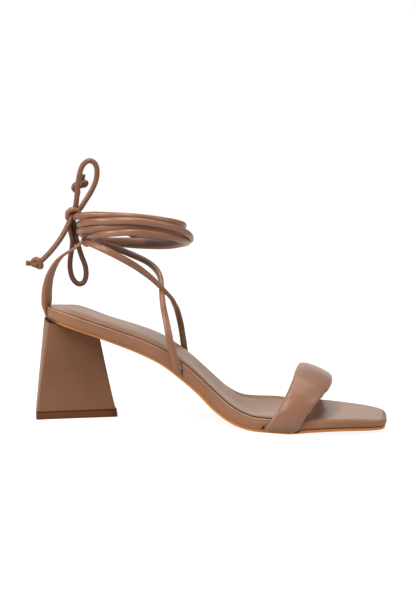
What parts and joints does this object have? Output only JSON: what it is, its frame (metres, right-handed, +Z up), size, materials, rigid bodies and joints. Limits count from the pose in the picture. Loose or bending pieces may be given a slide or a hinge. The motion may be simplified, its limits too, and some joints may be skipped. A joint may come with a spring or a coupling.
{
  "type": "block heel sandal",
  "caption": "Open square-toe sandal with a flared block heel, a padded toe strap and a leather tie wound round the ankle, for the right foot.",
  "frame": {"origin": "on the floor, under the middle of the shoe's box with the bow left out", "axes": "+X towards the toe, +Y towards the inner side of the right foot, +Z up"},
  "size_m": [0.2541, 0.0882, 0.1753],
  "materials": {
    "outsole": "matt tan sole sheet",
    "wrap_leather": "satin smooth leather",
    "sock_leather": "soft lining leather with a pale sheen",
    "heel_leather": "satin smooth leather over a moulded block",
    "heel_lift": "matt hard rubber",
    "strap_leather": "soft padded leather, satin",
    "tie_leather": "satin rolled leather"
  },
  "bodies": {
    "root": {"outsole": "outsole", "platform": "wrap_leather", "insole": "sock_leather", "heel_block": "heel_leather", "heel_lift": "heel_lift", "toe_strap": "strap_leather", "ankle_tie": "tie_leather", "heel_loop": "tie_leather", "bow_knot": "tie_leather", "bow_loop_upper": "tie_leather", "bow_loop_lower": "tie_leather", "tie_end_near": "tie_leather", "tie_end_near_knot": "tie_leather", "tie_end_near_stub": "tie_leather", "tie_end_far": "tie_leather", "tie_end_far_knot": "tie_leather", "tie_end_far_stub": "tie_leather"}
  },
  "joints": []
}
